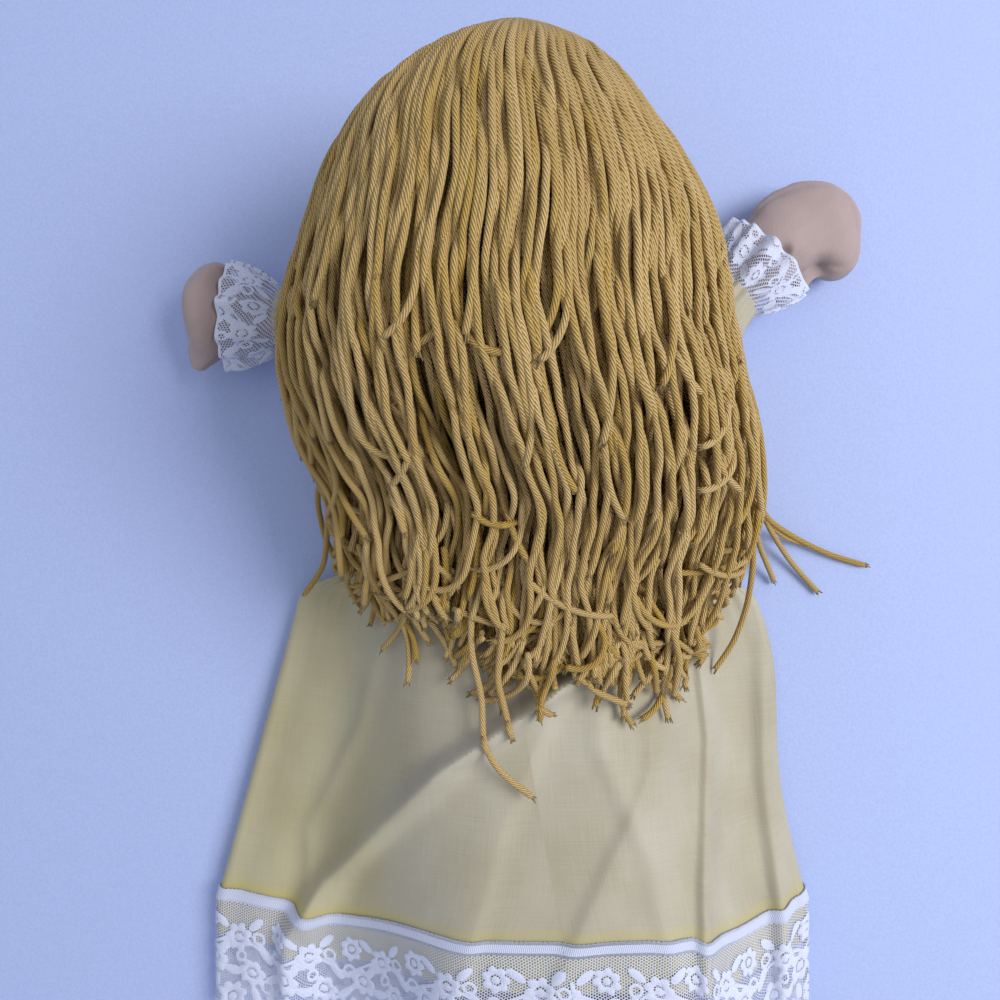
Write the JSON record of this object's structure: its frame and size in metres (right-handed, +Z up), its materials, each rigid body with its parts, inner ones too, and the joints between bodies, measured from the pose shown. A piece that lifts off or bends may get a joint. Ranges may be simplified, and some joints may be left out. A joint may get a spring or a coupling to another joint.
{
  "type": "rag doll",
  "caption": "Soft rag doll lying face down, with thick yarn hair, stuffed mitten hands, swinging limbs and a sheer gathered dress edged with net lace.",
  "frame": {"origin": "middle of the flat of the chest, where the dress front lies on the table", "axes": "+Y to the crown of the head, +X to the doll's own right, +Z up from the table to the doll's back"},
  "size_m": [0.2656, 0.4264, 0.1217],
  "materials": {
    "cotton_skin": "plain woven cotton, matte",
    "yarn": "plied wool yarn, matte",
    "voile": "sheer slubbed cotton voile",
    "lace": "cotton net lace",
    "eye_thread": "satin stitch",
    "mouth_thread": "satin stitch"
  },
  "bodies": {
    "torso": {"torso": "cotton_skin", "neck": "cotton_skin", "bodice_front": "voile", "bodice_back_left": "voile", "bodice_back_right": "voile", "waistband": "voile", "skirt_left": "voile", "skirt_right": "voile", "hem_band_left": "lace", "hem_band_right": "lace", "hem_lace_left": "lace", "hem_lace_right": "lace"},
    "head": {"head": "cotton_skin", "eye_left": "eye_thread", "eye_right": "eye_thread", "mouth": "mouth_thread", "hair_cap": "yarn", "hair_fringe": "yarn", "hair_back": "yarn", "hair_fall_left": "yarn", "hair_fall_middle": "yarn", "hair_fall_right": "yarn"},
    "arm_left": {"arm_left": "cotton_skin", "sleeve_left": "voile", "cuff_lace_left": "lace"},
    "arm_right": {"arm_right": "cotton_skin", "sleeve_right": "voile", "cuff_lace_right": "lace"},
    "leg_left": {"leg_left": "cotton_skin"},
    "leg_right": {"leg_right": "cotton_skin"}
  },
  "joints": [
    {"name": "neck_nod", "type": "hinge", "parent": "torso", "child": "head", "pos_m": [0, 0.0225, 0.028], "axis": [1, 0, 0], "range_deg": [-20, 20], "deforming": ["hair_back", "hair_fall_left", "hair_fall_middle", "hair_fall_right"]},
    {"name": "shoulder_right", "type": "hinge", "parent": "torso", "child": "arm_right", "pos_m": [0.0518, 0.007, 0.0245], "axis": [0, 0, 1], "range_deg": [-60, 0]},
    {"name": "shoulder_left", "type": "hinge", "parent": "torso", "child": "arm_left", "pos_m": [-0.0518, 0.007, 0.0245], "axis": [0, 0, -1], "range_deg": [-60, 0]},
    {"name": "hip_right", "type": "hinge", "parent": "torso", "child": "leg_right", "pos_m": [0.0222, -0.0628, 0.0241], "axis": [1, 0, 0], "range_deg": [-30, 75], "deforming": ["skirt_right", "hem_band_right", "hem_lace_right"]},
    {"name": "hip_left", "type": "hinge", "parent": "torso", "child": "leg_left", "pos_m": [-0.0222, -0.0628, 0.0241], "axis": [1, 0, 0], "range_deg": [-30, 75], "deforming": ["skirt_left", "hem_band_left", "hem_lace_left"]}
  ]
}
